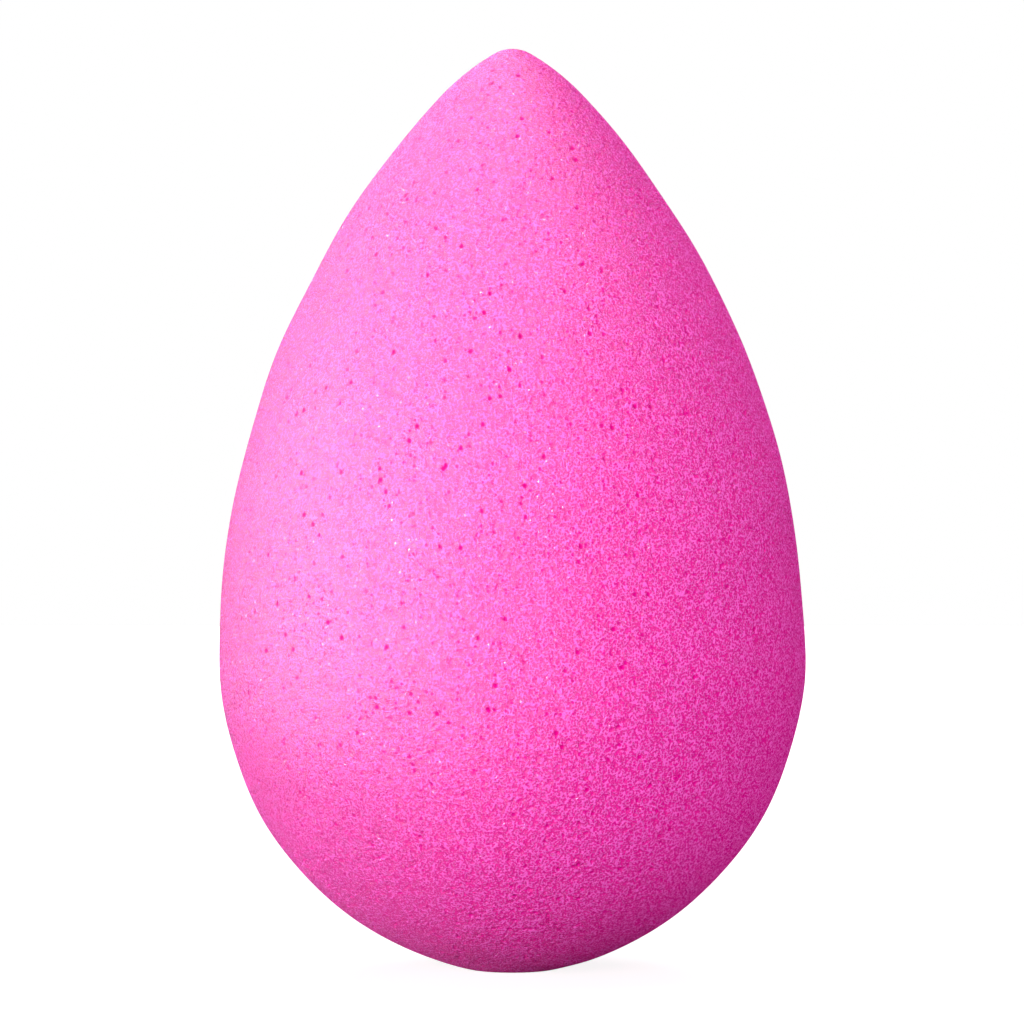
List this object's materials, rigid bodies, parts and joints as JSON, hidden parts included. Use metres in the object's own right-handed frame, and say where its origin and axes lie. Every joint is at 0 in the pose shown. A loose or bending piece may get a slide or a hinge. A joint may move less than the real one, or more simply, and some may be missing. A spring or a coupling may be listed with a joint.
{
  "type": "makeup sponge",
  "caption": "Drop-shaped soft foam makeup sponge with a rounded heavy end, a tapering flank and a blunt tip, for dabbing and blending cream on the face.",
  "frame": {"origin": "middle of the flat foot at the rounded end, where the sponge stands", "axes": "+Z along the axis of revolution, from the foot to the tip; X and Y are any two directions across it"},
  "size_m": [0.0382, 0.0382, 0.06],
  "materials": {
    "pink_foam": "matte"
  },
  "bodies": {
    "root": {"foam_body": "pink_foam"}
  },
  "joints": []
}
